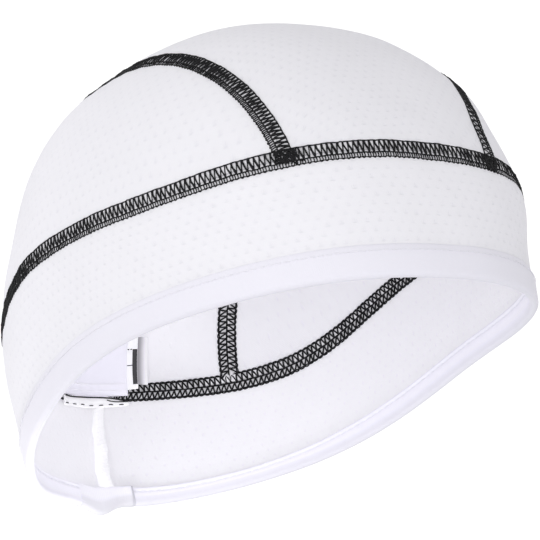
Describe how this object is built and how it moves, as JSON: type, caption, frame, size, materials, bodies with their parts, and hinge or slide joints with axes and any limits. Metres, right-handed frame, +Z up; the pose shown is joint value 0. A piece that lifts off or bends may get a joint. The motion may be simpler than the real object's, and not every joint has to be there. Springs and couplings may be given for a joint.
{
  "type": "helmet liner cap",
  "caption": "Close-fitting stretch helmet liner cap in white dotted jersey: panelled crown, seamed band, folded elastic rim binding and contrasting black flatlock seams, in its worn shape.",
  "frame": {"origin": "the highest point of the crown's inside, on the cap's middle plane, where a head carries the cap", "axes": "+Z up as worn, front of the cap towards -Y, the wearer's left towards +X"},
  "size_m": [0.1597, 0.2025, 0.1621],
  "materials": {
    "jersey": "matte, dotted mesh knit",
    "binding": "smooth matte elastic knit",
    "thread": "soft sheen",
    "tape": "matte",
    "label": "satin"
  },
  "bodies": {
    "root": {"crown_centre": "jersey", "crown_side_right": "jersey", "crown_side_left": "jersey", "band": "jersey", "binding": "binding", "binding_join": "binding", "band_seam_outside": "thread", "band_seam_inside": "thread", "crown_seam_right_outside": "thread", "crown_seam_right_inside": "thread", "crown_seam_left_outside": "thread", "crown_seam_left_inside": "thread", "back_seam": "tape", "seam_tape": "tape", "main_label": "label", "care_label": "label"}
  },
  "joints": []
}
